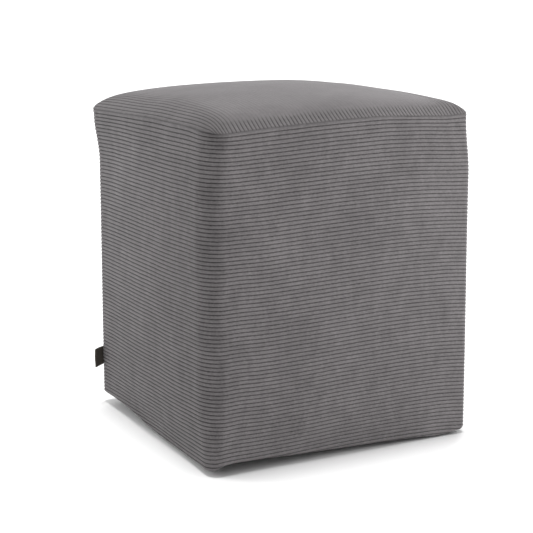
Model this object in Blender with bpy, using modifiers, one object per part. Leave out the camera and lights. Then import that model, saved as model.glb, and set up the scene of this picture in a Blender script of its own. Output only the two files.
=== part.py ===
"""Cube pouf stool covered in wide-wale cord.

The front stands at -Y and the left face at -X, with the floor at z = 0. One cloth covers the front and
the left face, a second one the back and the right face, and their upright seams are at the far left and
the near right corner. A crowned top closes the cover. Every cloth is filled, so its solid reaches inwards
to its neighbours. The wales are raised on all of them: level round the sides, front to back on the top.
"""

import math

import bmesh
import bpy
import numpy as np
from mathutils import Matrix, Vector

# Driving dimensions, in metres.
WIDTH = 0.380
DEPTH = 0.380
HEM_HEIGHT = 0.010
WALL_HEIGHT = 0.4305
SIDE_WALES = 82
TOP_WALES = 74
WALE_RELIEF = 0.0009
CROWN_HEIGHT = 0.0385
CROWN_BLEND = 2.5
# How the crown climbs from each of its seams: (share of the height in the roll, width of the roll, roll's
# power, dome's power)
LEFT_CLIMB = (0.72, 0.019, 1.0, 2.0)
RIGHT_CLIMB = (0.58, 0.007, 1.0, 2.9)
FRONT_CLIMB = (0.30, 0.016, 1.6, 2.0)
BACK_CLIMB = (0.74, 0.007, 1.0, 2.9)
# The front's roll takes a larger share of the height towards the near right corner.
FRONT_ROLL_AT_RIGHT = 0.48
FRONT_ROLL_GROWS_FROM = 0.040
FACE_BULGE = 0.004
HEM_DRAW = 0.007
HEM_DRAW_HEIGHT = 0.070
SEAM_TUCK = 0.0012
HEM_TUCK = 0.0020
GAP = 0.0003

BASE_INSET = 0.038
BASE_CORNER_RADIUS = 0.030
BASE_EDGE_RADIUS = 0.0015

TAG_LENGTH = 0.0230
TAG_HEIGHT = 0.027
TAG_THICKNESS = 0.0024
TAG_CENTRE_HEIGHT = 0.071
TAG_ROOT_CLEARANCE = 0.0024
TAG_ROOT_HEADING = math.radians(207.0)
TAG_FOLD_HEADING = math.radians(222.0)

# Where the filled cover has settled away from a true box, in millimetres: (side of X, side of Y, reach of
# the corner's bend along X and along Y, plan shifts (x, y) at the hem, at the waist, at the top seam)
CORNERS = (
    (-1, +1, (8.0, 8.0), (+2.1, -1.7), (+3.1, -3.1), (-4.4, +0.8)),
    (-1, -1, (26.0, 38.0), (-7.3, +3.0), (-9.8, +3.7), (-4.7, +0.6)),
    (+1, -1, (8.0, 8.0), (+7.7, -4.5), (+5.2, -3.4), (+2.0, +1.4)),
    (+1, +1, (26.0, 38.0), (+4.0, +2.0), (+5.0, +3.0), (+2.0, +2.0)),
)
WAIST = 0.82
# The hem holds the round corners tighter: their bend's size there, and how far up this fades out.
FOOT_BEND = 0.54
FOOT_HEIGHT = 0.060

# Steps of the meshes. The arc steps are those of half a corner.
SEAM_ARC_STEPS = 1
ROUND_ARC_STEPS = 3
FACE_STEPS = 4
TAG_STEPS = 6
# Stretches across the top from front to back: (length along the cloth in millimetres, steps)
TOP_STRETCHES = ((24.0, 4), (56.0, 2), (110.0, 1), (110.0, 1), (70.0, 1), (24.0, 4))
CROWN_SAMPLES = 801

HALF = Vector((WIDTH / 2, DEPTH / 2))
SEAM_HEIGHT = HEM_HEIGHT + WALL_HEIGHT
MM = 0.001


def clear_scene():
    for obj in list(bpy.data.objects):
        bpy.data.objects.remove(obj, do_unlink=True)


def make_material(name, colour, roughness):
    material = bpy.data.materials.new(name)
    material.use_nodes = True
    shader = material.node_tree.nodes["Principled BSDF"]
    shader.inputs["Base Color"].default_value = (*colour, 1.0)
    shader.inputs["Roughness"].default_value = roughness
    shader.inputs["Metallic"].default_value = 0.0
    return material


def add_object(name, mesh, material, collection):
    obj = bpy.data.objects.new(name, mesh)
    mesh.materials.append(material)
    collection.objects.link(obj)
    return obj


def ease(t):
    """Runs from 0 to 1 with level ends."""
    return t * t * (3 - 2 * t)


def corner_reach(x, y):
    """How far the bend of the corner nearest to a plan point reaches along X and along Y."""
    for side_x, side_y, reach, *_ in CORNERS:
        if side_x * x > 0 and side_y * y > 0:
            return Vector(reach) * MM
    return None


def settled(x, y, rise):
    """A plan point of the true box moved to where the filled cover has settled.

    rise runs from 0 at the hem to 1 at the top seam. The corners lean, and each face bulges, but for its
    lowest stretch, which is drawn in towards the hem.
    """
    u = max(-1.0, min(1.0, x / HALF.x))
    v = max(-1.0, min(1.0, y / HALF.y))
    below_waist = ease(min(rise / WAIST, 1.0))
    above_waist = ease(max(rise - WAIST, 0.0) / (1 - WAIST))
    shift = Vector((0.0, 0.0))
    for side_x, side_y, _, at_hem, at_waist, at_seam in CORNERS:
        share = (1 + side_x * u) * (1 + side_y * v) / 4
        lean = Vector(at_hem).lerp(Vector(at_waist), below_waist)
        lean += (Vector(at_seam) - Vector(at_waist)) * above_waist
        shift += share * lean * MM
    bulge = FACE_BULGE * (0.4 + 0.6 * math.sin(math.pi * rise))
    bulge -= HEM_DRAW * max(1 - rise * WALL_HEIGHT / HEM_DRAW_HEIGHT, 0.0) ** 2
    shift += bulge * Vector((u**3 * (1 - v * v) ** 2, v**3 * (1 - u * u) ** 2))
    return x + shift.x, y + shift.y


def corner_arc(corner, first, last, steps):
    """Plan points and outward normals round an elliptical corner, between two turns of its ellipse."""
    side_x, side_y, reach, *_ = corner
    reach_x, reach_y = Vector(reach) * MM
    centre = Vector((side_x * (HALF.x - reach_x), side_y * (HALF.y - reach_y)))
    points = []
    for step in range(steps + 1):
        turn = first + (last - first) * step / steps
        point = centre + Vector((reach_x * math.cos(turn), reach_y * math.sin(turn)))
        normal = Vector((math.cos(turn) / reach_x, math.sin(turn) / reach_y)).normalized()
        points.append((point, normal))
    return points


def face_between(before, after):
    """The points of a flat face between the arcs at its two ends."""
    start, normal = before
    end, _ = after
    return [(start.lerp(end, step / FACE_STEPS), normal) for step in range(1, FACE_STEPS)]


def side_outline(from_corner, over_corner, to_corner):
    """Plan points and outward normals of a side cloth, from one corner seam over a round corner to the other."""
    start = math.atan2(from_corner[1], from_corner[0])
    eighth = math.pi / 4
    first = corner_arc(from_corner, start, start + eighth, SEAM_ARC_STEPS)
    middle = corner_arc(over_corner, start + eighth, start + 3 * eighth, 2 * ROUND_ARC_STEPS)
    last = corner_arc(to_corner, start + 3 * eighth, start + 4 * eighth, SEAM_ARC_STEPS)
    # The two cloths stop half a gap short of the plane through both seams.
    inwards = Vector(over_corner[:2]).normalized() * GAP / 2
    first[0] = (first[0][0] + inwards, first[0][1])
    last[-1] = (last[-1][0] + inwards, last[-1][1])
    return (
        first
        + face_between(first[-1], middle[0])
        + middle
        + face_between(middle[-1], last[0])
        + last
    )


def side_cloth(name, corners, material, collection):
    """A side cloth and its filling: a tube of the cloth's outline, with two rings for each wale."""
    from_corner, over_corner, to_corner = corners
    outline = side_outline(*corners)
    tighter = tuple(FOOT_BEND * reach for reach in over_corner[2])
    foot = side_outline(from_corner, (*over_corner[:2], tighter, *over_corner[3:]), to_corner)
    rings = 2 * SIDE_WALES + 1
    columns = len(outline)
    sheet = bmesh.new()
    # The grid's last column lies on its first, which closes it into a tube.
    bmesh.ops.create_grid(sheet, x_segments=columns, y_segments=rings - 1, size=1.0)
    sheet.verts.ensure_lookup_table()
    for index, vertex in enumerate(sheet.verts):
        ring, column = divmod(index, columns + 1)
        rise = ring / (rings - 1)
        at_foot = ease(max(1 - rise * WALL_HEIGHT / FOOT_HEIGHT, 0.0))
        point, normal = outline[column % columns]
        foot_point, foot_normal = foot[column % columns]
        point = point.lerp(foot_point, at_foot)
        normal = normal.lerp(foot_normal, at_foot)
        if ring == 0:
            depth = HEM_TUCK
        elif ring == rings - 1:
            depth = SEAM_TUCK
        else:
            depth = 0.0 if ring % 2 else WALE_RELIEF
        x, y = settled(point.x, point.y, rise)
        x -= depth * normal.x
        y -= depth * normal.y
        vertex.co = (x, y, HEM_HEIGHT + WALL_HEIGHT * rise)
    bmesh.ops.remove_doubles(sheet, verts=sheet.verts, dist=1e-6)
    bmesh.ops.holes_fill(sheet, edges=sheet.edges, sides=0)
    bmesh.ops.recalc_face_normals(sheet, faces=sheet.faces)
    mesh = bpy.data.meshes.new(name)
    sheet.to_mesh(mesh)
    sheet.free()
    return add_object(name, mesh, material, collection)


def climb(from_seam, shares):
    """Height of the crown at a distance from one of its seams, as a share of its full height."""
    share, width, roll_power, dome_power = shares
    roll = math.exp(-((max(from_seam, 0.0) / width) ** roll_power))
    dome = max(1 - from_seam / HALF.x, 0.0) ** dome_power
    return 1 - share * roll - (1 - share) * dome


def crown_height(x, y):
    """Height of the crown above its seam at a plan point of the true box."""
    if x < 0:
        over_x = climb(HALF.x + x, LEFT_CLIMB)
    else:
        over_x = climb(HALF.x - x, RIGHT_CLIMB)
    if y < 0:
        grown = max((x - FRONT_ROLL_GROWS_FROM) / (HALF.x - FRONT_ROLL_GROWS_FROM), 0.0) ** 2
        share = FRONT_CLIMB[0] + (FRONT_ROLL_AT_RIGHT - FRONT_CLIMB[0]) * grown
        over_y = climb(HALF.y + y, (share, *FRONT_CLIMB[1:]))
    else:
        over_y = climb(HALF.y - y, BACK_CLIMB)
    if min(over_x, over_y) <= 0:
        return 0.0
    blend = over_x**-CROWN_BLEND + over_y**-CROWN_BLEND - 1
    return CROWN_HEIGHT * blend ** (-1 / CROWN_BLEND)


def cloth_places(across_x):
    """The crown's middle line across X or along Y: plan places, and the share of the cloth up to each."""
    places = np.linspace(-HALF.x, HALF.x, CROWN_SAMPLES)
    if across_x:
        heights = [crown_height(place, 0.0) for place in places]
    else:
        heights = [crown_height(0.0, place) for place in places]
    steps = np.hypot(np.diff(places), np.diff(heights))
    lengths = np.concatenate([[0.0], np.cumsum(steps)])
    return places, lengths / lengths[-1]


PLACES_X, SHARES_X = cloth_places(across_x=True)
PLACES_Y, SHARES_Y = cloth_places(across_x=False)


def rounded(x, y):
    """A plan point of the square top drawn in so that the square's corners become round ones."""
    reach = corner_reach(x, y)
    if reach is None:
        return x, y
    over_x = (abs(x) - HALF.x + reach.x) / reach.x
    over_y = (abs(y) - HALF.y + reach.y) / reach.y
    if over_x <= 0 or over_y <= 0:
        return x, y
    round_x = HALF.x - reach.x + reach.x * over_x * math.sqrt(1 - over_y**2 / 2)
    round_y = HALF.y - reach.y + reach.y * over_y * math.sqrt(1 - over_x**2 / 2)
    return math.copysign(round_x, x), math.copysign(round_y, y)


def crown(p, q):
    """The point of the top's smooth surface at shares p across and q along the wales, from 0 to 1."""
    box_x = float(np.interp(p, SHARES_X, PLACES_X))
    box_y = float(np.interp(q, SHARES_Y, PLACES_Y))
    x, y = settled(*rounded(box_x, box_y), 1.0)
    return Vector((x, y, SEAM_HEIGHT + GAP + crown_height(box_x, box_y)))


def crown_normal(p, q):
    """The crown's outward normal, from the surface a short step to each side."""
    step = 0.002
    across = crown(min(p + step, 1.0), q) - crown(max(p - step, 0.0), q)
    along = crown(p, min(q + step, 1.0)) - crown(p, max(q - step, 0.0))
    return across.cross(along).normalized()


def top_rows():
    """Where the rows of the top lie between its front seam at 0 and its back seam at 1."""
    total = sum(length for length, _ in TOP_STRETCHES)
    rows = [0.0]
    for length, steps in TOP_STRETCHES:
        for _ in range(steps):
            rows.append(rows[-1] + length / steps)
    return [row / total for row in rows]


def top_cloth(material, collection):
    """The top and its filling: a sheet with two columns for each wale, closed flat at the seam."""
    rows = top_rows()
    columns = 2 * TOP_WALES + 1
    sheet = bmesh.new()
    bmesh.ops.create_grid(sheet, x_segments=columns - 1, y_segments=len(rows) - 1, size=1.0)
    sheet.verts.ensure_lookup_table()
    for index, vertex in enumerate(sheet.verts):
        row, column = divmod(index, columns)
        p = column / (columns - 1)
        q = rows[row]
        normal = crown_normal(p, q)
        if row in (0, len(rows) - 1) or column in (0, columns - 1):
            normal = Vector((normal.x, normal.y, 0.0)).normalized()
            depth = SEAM_TUCK
        else:
            depth = 0.0 if column % 2 else WALE_RELIEF
        vertex.co = crown(p, q) - depth * normal
    bmesh.ops.holes_fill(sheet, edges=sheet.edges, sides=0)
    bmesh.ops.recalc_face_normals(sheet, faces=sheet.faces)
    mesh = bpy.data.meshes.new("top_panel")
    sheet.to_mesh(mesh)
    sheet.free()
    return add_object("top_panel", mesh, material, collection)


def base_panel(material, collection):
    """The plain underside, set back from the hem, which the stool rests on."""
    height = HEM_HEIGHT - GAP
    bpy.ops.mesh.primitive_cube_add(size=1.0, location=(0.0, 0.0, height / 2))
    obj = bpy.context.object
    obj.name = "base_panel"
    obj.data.name = "base_panel"
    side_x = WIDTH - 2 * BASE_INSET
    side_y = DEPTH - 2 * BASE_INSET
    obj.data.transform(Matrix.Diagonal((side_x, side_y, height, 1.0)))
    shape = bmesh.new()
    shape.from_mesh(obj.data)
    upright = [edge for edge in shape.edges if edge.verts[0].co.xy == edge.verts[1].co.xy]
    bmesh.ops.bevel(
        shape, geom=upright, offset=BASE_CORNER_RADIUS, segments=6, profile=0.5, affect="EDGES"
    )
    shape.to_mesh(obj.data)
    shape.free()
    rim = obj.modifiers.new("edge", "BEVEL")
    rim.width = BASE_EDGE_RADIUS
    rim.segments = 2
    rim.limit_method = "ANGLE"
    rim.angle_limit = math.radians(60)
    obj.data.materials.append(material)
    for owner in list(obj.users_collection):
        owner.objects.unlink(obj)
    collection.objects.link(obj)
    return obj


def tag_spine():
    """Plan points and headings along the tab, from its root in the seam to the start of its outer fold."""
    corner = CORNERS[0]
    seam_direction = math.atan2(corner[1], corner[0])
    (point, _), _ = corner_arc(corner, seam_direction, seam_direction, 1)
    rise = (TAG_CENTRE_HEIGHT - HEM_HEIGHT) / WALL_HEIGHT
    place = Vector(settled(point.x, point.y, rise))
    length = TAG_LENGTH - TAG_ROOT_CLEARANCE - TAG_THICKNESS / 2
    spine = []
    for step in range(TAG_STEPS + 1):
        turn = TAG_ROOT_HEADING + (TAG_FOLD_HEADING - TAG_ROOT_HEADING) * step / TAG_STEPS
        heading = Vector((math.cos(turn), math.sin(turn)))
        place = place + heading * (length / TAG_STEPS if step else TAG_ROOT_CLEARANCE)
        spine.append((place, heading))
    return spine


def side_tag(material, collection):
    """The folded tab in the far left seam: a thin bent outline with a round outer fold."""
    spine = tag_spine()
    thin = TAG_THICKNESS / 2
    one_side = [place + Vector((heading.y, -heading.x)) * thin for place, heading in spine]
    other_side = [place + Vector((-heading.y, heading.x)) * thin for place, heading in spine]
    fold_place, fold_heading = spine[-1]
    across = Vector((-fold_heading.y, fold_heading.x))
    fold = []
    for step in range(1, TAG_STEPS):
        angle = -math.pi / 2 + math.pi * step / TAG_STEPS
        fold.append(fold_place + thin * (fold_heading * math.cos(angle) + across * math.sin(angle)))
    outline = one_side + fold + other_side[::-1]
    curve = bpy.data.curves.new("side_tag", "CURVE")
    curve.dimensions = "2D"
    curve.fill_mode = "BOTH"
    curve.extrude = TAG_HEIGHT / 2
    spline = curve.splines.new("POLY")
    spline.points.add(len(outline) - 1)
    for point, place in zip(spline.points, outline):
        point.co = (place.x, place.y, 0.0, 1.0)
    spline.use_cyclic_u = True
    obj = add_object("side_tag", curve, material, collection)
    obj.location.z = TAG_CENTRE_HEIGHT
    return obj


def main():
    clear_scene()
    collection = bpy.data.collections.new("cube_pouf_stool")
    bpy.context.scene.collection.children.link(collection)
    cord = make_material("grey_cord", (0.150, 0.140, 0.144), 0.90)
    felt = make_material("dark_underside", (0.020, 0.019, 0.019), 0.95)
    ribbon = make_material("dark_ribbon", (0.022, 0.018, 0.014), 0.75)
    far_left, near_left, near_right, far_right = CORNERS
    side_cloth("front_left_side", (far_left, near_left, near_right), cord, collection)
    side_cloth("back_right_side", (near_right, far_right, far_left), cord, collection)
    top_cloth(cord, collection)
    base_panel(felt, collection)
    side_tag(ribbon, collection)


main()
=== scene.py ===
"""The looks of the cube pouf stool: its finished cover of wide-wale cord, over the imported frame.

Everything is in metres, with the floor at z = 0, the front at -Y and the left face at -X. Three filled
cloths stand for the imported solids: one over the left and front faces, one over the right and back faces,
and the crowned top. Their wales are real ridges that follow the cloth, into the seams and under the hem.
A folded ribbon tab and the plain underside complete the stool.
"""

import math

import bmesh
import bpy
import numpy as np
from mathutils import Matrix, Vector


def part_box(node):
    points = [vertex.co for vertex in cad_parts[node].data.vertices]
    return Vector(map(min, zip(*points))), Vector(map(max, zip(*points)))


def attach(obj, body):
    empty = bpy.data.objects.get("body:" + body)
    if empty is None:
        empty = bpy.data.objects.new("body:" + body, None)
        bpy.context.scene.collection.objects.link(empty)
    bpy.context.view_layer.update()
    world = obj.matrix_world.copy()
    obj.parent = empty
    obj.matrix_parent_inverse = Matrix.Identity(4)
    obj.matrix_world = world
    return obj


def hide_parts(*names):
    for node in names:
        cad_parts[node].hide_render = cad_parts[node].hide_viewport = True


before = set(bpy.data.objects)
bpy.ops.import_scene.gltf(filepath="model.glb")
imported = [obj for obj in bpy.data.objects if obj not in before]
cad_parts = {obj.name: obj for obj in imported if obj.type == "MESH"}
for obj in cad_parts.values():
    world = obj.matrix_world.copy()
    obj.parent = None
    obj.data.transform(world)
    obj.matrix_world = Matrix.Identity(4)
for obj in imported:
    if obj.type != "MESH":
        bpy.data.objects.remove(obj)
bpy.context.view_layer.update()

MM = 0.001
TINY = 1e-9

# ---------------------------------------------------------------- sizes of the cover

# The true box of the cover, as the solids have it. Its heights are read from the frame.
WIDTH = 0.380
DEPTH = 0.380
HEM_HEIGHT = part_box("front_left_side")[0][2]
SEAM_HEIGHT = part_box("front_left_side")[1][2]
WALL_HEIGHT = SEAM_HEIGHT - HEM_HEIGHT
HALF_X = WIDTH / 2
HALF_Y = DEPTH / 2

# Points along each arc of a plan outline, and steps between the points along a side cloth.
ARC_POINTS = 60
SEAM_CORNER_STEPS = 5
FACE_STEPS = 82
ROUND_CORNER_STEPS = 34
# Points along the top's wales: in the stretch at each end, where they bunch towards the seam, and between.
TOP_EDGE = 34.0 * MM
TOP_EDGE_ROWS = 25
TOP_EDGE_BUNCHING = 1.3
TOP_MIDDLE_ROWS = 121
MIDDLE_LINE_POINTS = 801

# Cord cloth.
SIDE_WALES = 82
SIDE_PITCH = WALL_HEIGHT / SIDE_WALES
TOP_WALES = 74
SIDE_RELIEF = 1.15 * MM
TOP_RELIEF = 0.75 * MM
CREST_ROUNDING = 0.10
FURROW_SHARE = 0.20
FURROW_POWER = 1.5
WALE_STEPS = (0.0, 0.12, 0.30, 0.70, 0.88)

# The top's middle is worn flat by use, and light from above fills its furrows, so their painted shade is lifted
# there:
# how flat, how far the painted furrow shade is lifted, and (start, width) of the change, from the seams beside
# the wales and from those at their ends.
BRUSHED_FLAT = 0.80
FURROW_SHADE_LIFT = 0.95
BRUSHED_AND_LIT_FROM_SIDES = (15.0 * MM, 45.0 * MM)
BRUSHED_AND_LIT_FROM_ENDS = (12.0 * MM, 12.0 * MM)
# The seams at the ends of the top's wales press them down to this share of their relief.
CAUGHT_RELIEF = 0.35
CAUGHT_WIDTH = 5.0 * MM

# The side wales stand out more round the bend of the round corner, and most just past it under the top seam,
# where painted shade darkens them too.
BEND_GAIN = 0.30
BEND_REACH = 24.0 * MM
BELOW_CORNER_GAIN = 0.9
BELOW_CORNER_SHADE = 0.35
BELOW_CORNER_PLACE = 6.0 * MM
BELOW_CORNER_LENGTH = 13.0 * MM
BELOW_CORNER_HEIGHT = 24.0 * MM

# Fill of the cover.
FACE_BULGE = 4.0 * MM
BULGE_AT_ENDS = 0.4
WAIST = 0.82
CROWN_HEIGHT = 31.9 * MM
CROWN_BLEND = 2.5
LEAST_CLIMB = 1e-4
# How each side of the crown climbs from its seam: (share of the height in its roll, width of the roll, roll's
# power, dome's power)
LEFT_CLIMB = (0.72, 19.0 * MM, 1.0, 2.0)
RIGHT_CLIMB = (0.58, 7.0 * MM, 1.0, 2.9)
FRONT_CLIMB = (0.30, 16.0 * MM, 1.6, 2.0)
BACK_CLIMB = (0.74, 7.0 * MM, 1.0, 2.9)
# The front's roll grows towards the near right corner.
FRONT_ROLL_AT_RIGHT = 0.48
FRONT_ROLL_GROWS_FROM = 40.0 * MM

# Sewn edges. A pair is (amount at the edge, distance over which it fades out).
SEAM_GAP = 0.02 * MM
SEAM_CURL = 0.9 * MM
SEAM_ALLOWANCE = 8.0 * MM
SEAM_SHADE = 0.85
SEAM_SHADE_REACH = 1.3 * MM
END_CURL = 1.2 * MM
END_ALLOWANCE = 7.0 * MM
END_TUCK = (1.3 * MM, 3.2 * MM)
SIDE_SEAM_TUCK = (0.9 * MM, 1.8 * MM)
TOP_SEAM_TUCK = (1.5 * MM, 2.8 * MM)
HEM_DRAW = (7.0 * MM, 70.0 * MM)
HEM_END_LIFT = (3.0 * MM, 9.0 * MM)
HEM_FOLD_RADIUS = 1.8 * MM
HEM_TURN = 13.0 * MM
HEM_RISE = 0.22
# The hem holds the round corners tighter: their bend's size there, and how far up this fades out.
FOOT_BEND = 0.54
FOOT_HEIGHT = 60.0 * MM
# Cloth inside the top seam. Of a side cloth: (distance inwards, distance down, wales above its first row)
SIDE_RIM = ((SEAM_ALLOWANCE, 2.0 * MM, 1.3), (SEAM_CURL, 0.0, 0.2))
# Of the top: (distance inwards, distance up)
TOP_RIM = ((SEAM_CURL, -0.1 * MM), (SEAM_ALLOWANCE, 0.4 * MM))
# Points of the top's edge further out than this share of the half width lie on a straight side.
EDGE_SHARE = 0.92

# Unevenness of a cloth: (depth, size of its cells in both directions, number added to the cloth's seed), and
# the distances from a seam over which it grows or fades.
SIDE_CREEP = (0.22 * MM, 34.0 * MM, 5.0, 0)
SIDE_FILLING = (0.55 * MM, 55.0 * MM, 70.0 * MM, 1)
SIDE_DIMPLES = (0.22 * MM, 17.0 * MM, 40.0 * MM, 2)
SIDE_FILLING_GROWS = 25.0 * MM
SIDE_PUCKER = (0.30 * MM, 8.0 * MM, 60.0 * MM, 3)
SIDE_PUCKER_FADES = 9.0 * MM
TOP_FILLING = (0.50 * MM, 60.0 * MM, 60.0 * MM, 0)
TOP_FILLING_GROWS = 40.0 * MM
TOP_PUCKER = (0.35 * MM, 9.0 * MM, 9.0 * MM, 1)
TOP_PUCKER_FADES = 10.0 * MM
TOP_WANDER = (0.6 * MM, 30.0 * MM, 45.0 * MM, 2)
TOP_WANDER_GROWS = 20.0 * MM
NOISE_CELLS = 256

# (side of X, side of Y, reach of the corner's bend along X and along Y, plan shifts (x, y) at the hem, at
# the waist, at the top seam), in mm
FAR_LEFT = (-1, +1, (8.0, 8.0), (+2.1, -1.7), (+3.1, -3.1), (-4.4, +0.8))
NEAR_LEFT = (-1, -1, (26.0, 38.0), (-7.3, +3.0), (-9.8, +3.7), (-4.7, +0.6))
NEAR_RIGHT = (+1, -1, (8.0, 8.0), (+7.7, -4.5), (+5.2, -3.4), (+2.0, +1.4))
FAR_RIGHT = (+1, +1, (26.0, 38.0), (+4.0, +2.0), (+5.0, +3.0), (+2.0, +2.0))
CORNERS = (FAR_LEFT, NEAR_LEFT, NEAR_RIGHT, FAR_RIGHT)
# The corners of each side cloth: it starts at a seam, runs over the round corner and ends at a seam.
LEFT_FRONT_CORNERS = (FAR_LEFT, NEAR_LEFT, NEAR_RIGHT)
RIGHT_BACK_CORNERS = (NEAR_RIGHT, FAR_RIGHT, FAR_LEFT)

# How far the cover has crept up or down from level, in mm, at distances along a side cloth in mm:
# (distance, top seam, wales near the top, wales at mid height, wales near the hem, hem)
LEFT_FRONT_LEVELS = (
    (0.0, -4.7, -9.5, -14.0, -15.5, +5.5),
    (60.0, -2.0, -6.5, -11.3, -13.0, +5.6),
    (100.0, -0.5, -5.3, -10.2, -11.6, +2.8),
    (150.0, +1.5, -4.6, -8.6, -10.2, -4.3),
    (200.0, +3.4, -4.0, -7.2, -8.2, -5.1),
    (260.0, +3.5, -3.8, -6.4, -7.4, -3.8),
    (320.0, +3.2, -3.3, -4.2, -5.0, -2.8),
    (375.0, -0.4, -3.9, -2.4, -2.4, -1.6),
    (402.0, +1.0, -4.1, -1.2, -0.5, +5.0),
    (437.0, +3.3, -2.6, -1.6, -1.4, +4.3),
    (497.0, +6.2, +0.7, +0.3, -0.6, +0.8),
    (552.0, +8.3, +2.9, +2.0, +1.0, -1.9),
    (612.0, +8.9, +4.1, +3.6, +1.9, -3.6),
    (667.0, +6.2, +2.6, +3.0, +1.4, -5.4),
    (707.0, +4.3, +0.0, +1.1, -0.1, -7.6),
    (742.0, +5.3, -1.8, -2.0, -3.6, -4.2),
)
RIGHT_BACK_LEVELS = (
    (0.0, +5.3, +0.0, -1.0, -2.5, -4.2),
    (100.0, +4.0, +0.0, +0.5, +0.0, -4.5),
    (200.0, +2.2, -1.5, +0.5, +0.5, -2.5),
    (300.0, -0.5, -4.0, -1.0, -0.5, -0.5),
    (370.0, -4.5, -8.0, -4.5, -3.0, +1.0),
    (457.0, -2.8, -7.0, -5.5, -4.0, +0.0),
    (557.0, -2.0, -6.5, -7.0, -6.5, -1.5),
    (657.0, -2.8, -7.0, -9.5, -10.0, +0.0),
    (737.0, -4.7, -9.5, -14.0, -15.5, +5.5),
)
SEAM_COLUMN = 1
WALE_COLUMNS = (2, 3, 4)
HEM_COLUMN = 5
# The wales, counted down from the top seam, at which the three wale columns hold.
LEVEL_WALES = (3.0, 40.0, 78.0)
FIRST_WALE = -1
LAST_WALE = 84

# Creases and dimples of the side cloths, in mm: (distance along the cloth, height above the floor, heading in
# degrees up from level, half length, half width, depth)
LEFT_FRONT_CREASES = (
    (5.0, 430.0, 90.0, 10.0, 3.0, 1.7),
    (18.0, 432.5, -6.0, 8.0, 2.0, 1.0),
    (417.0, 436.0, 20.0, 5.0, 2.5, 0.7),
    (463.0, 438.0, 8.0, 11.0, 3.0, 0.8),
    (653.0, 441.0, 2.0, 13.0, 2.2, 0.8),
    (722.0, 431.0, -38.0, 13.0, 3.0, 1.4),
    (724.0, 40.0, 82.0, 9.0, 2.6, 0.9),
    (694.0, 23.0, -36.0, 7.0, 2.6, 1.1),
    (658.0, 15.0, 0.0, 8.0, 3.0, 1.0),
)
RIGHT_BACK_CREASES = (
    (22.0, 431.0, 35.0, 12.0, 3.0, 1.2),
    (15.0, 60.0, 88.0, 14.0, 2.8, 0.8),
    (300.0, 438.0, -5.0, 12.0, 2.6, 0.8),
    (430.0, 28.0, 30.0, 8.0, 2.6, 0.9),
    (560.0, 439.0, 4.0, 14.0, 2.4, 0.8),
    (728.0, 428.0, -70.0, 10.0, 3.0, 1.3),
)

# Folded tab in the far left seam. Its layers start at a share of their full distance apart, and part by a
# further share at each step.
TAG_LENGTH = 23.0 * MM
TAG_HEIGHT = 27.0 * MM
TAG_THICKNESS = 2.4 * MM
TAG_CLOTH = 0.6 * MM
TAG_CLOTH_DRAWN = 0.8 * TAG_CLOTH
TAG_CENTRE_HEIGHT = 71.0 * MM
TAG_ROOT_CLEARANCE = 2.4 * MM
TAG_ROOT_DEPTH = 2.6 * MM
TAG_ROOT_HEADING = math.radians(207.0)
TAG_FOLD_HEADING = math.radians(222.0)
TAG_ROOT_APART = 0.45
TAG_PARTING = 0.12
TAG_STEPS = 18
TAG_FOLD_STEPS = 8
TAG_ROWS = 15
TAG_SAG = 0.35 * MM
TAG_BOW = 0.25 * MM
# Turn of the bow's wave, in radians, from the ribbon's middle to its edge and along its whole length.
TAG_BOW_TURNS = (3.1, 9.0)

# Underside.
PAD_CORNER = 30.0 * MM
PAD_RIM_RADIUS = 2.5 * MM
PAD_RIM_STEPS = 8
PAD_COLUMNS = 240
PAD_LOWER_RINGS = (0.02, 0.25, 0.5, 0.75, 0.90)
PAD_UPPER_RINGS = (0.90, 0.5, 0.02)
PAD_PUCKER = 0.35 * MM
# Cells of the puckers for each radian round the rim, and from the middle to the rim.
PAD_PUCKER_CELLS = (40, 7)
MERGE_DISTANCE = 1e-6

# ---------------------------------------------------------------- shape helpers


def ease(t):
    """Runs from 0 to 1 with level ends."""
    return t * t * (3 - 2 * t)


def fade_in(distance, start, width):
    """0 up to the start and 1 from start + width on, with a smooth change between."""
    return ease(np.clip((distance - start) / width, 0.0, 1.0))


def fade_out(distance, pair):
    """For a pair (amount, reach): the amount at a distance of 0, down to nothing at the reach."""
    amount, reach = pair
    return amount * np.maximum(1 - distance / reach, 0.0) ** 2


def mound(offset, reach):
    """A smooth mound of height 1 around an offset of 0."""
    return np.exp(-((offset / reach) ** 2))


def size_of(vectors):
    """Length of each vector, kept as a last axis of one."""
    return np.linalg.norm(vectors, axis=-1, keepdims=True)


def smooth_curve(at, places, values):
    """A smooth curve through (places, values), read at the places in at."""
    places = np.asarray(places, float)
    values = np.asarray(values, float)
    slopes = np.gradient(values, places)
    index = np.clip(np.searchsorted(places, at, side="right") - 1, 0, len(places) - 2)
    step = places[index + 1] - places[index]
    t = np.clip((at - places[index]) / step, 0.0, 1.0)
    start = values[index] * (1 + 2 * t) * (1 - t) ** 2 + slopes[index] * step * t * (1 - t) ** 2
    end = values[index + 1] * t * t * (3 - 2 * t) + slopes[index + 1] * step * t * t * (t - 1)
    return start + end


def soft_noise(x, y, cell_x, cell_y, seed):
    """Smooth noise between -1 and 1, with one random value for each cell."""
    values = np.random.default_rng(seed).uniform(-1.0, 1.0, (NOISE_CELLS, NOISE_CELLS))
    column = np.floor(x / cell_x).astype(int)
    row = np.floor(y / cell_y).astype(int)
    across = ease(x / cell_x - column)
    along = ease(y / cell_y - row)
    left = column % NOISE_CELLS
    right = (column + 1) % NOISE_CELLS
    low, high = (
        values[left, at % NOISE_CELLS] * (1 - across) + values[right, at % NOISE_CELLS] * across
        for at in (row, row + 1)
    )
    return low * (1 - along) + high * along


def uneven(kind, x, y, seed):
    """Depth of one kind of unevenness at places on a cloth."""
    depth, cell_x, cell_y, seed_step = kind
    return depth * soft_noise(x, y, cell_x, cell_y, seed + seed_step)


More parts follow.
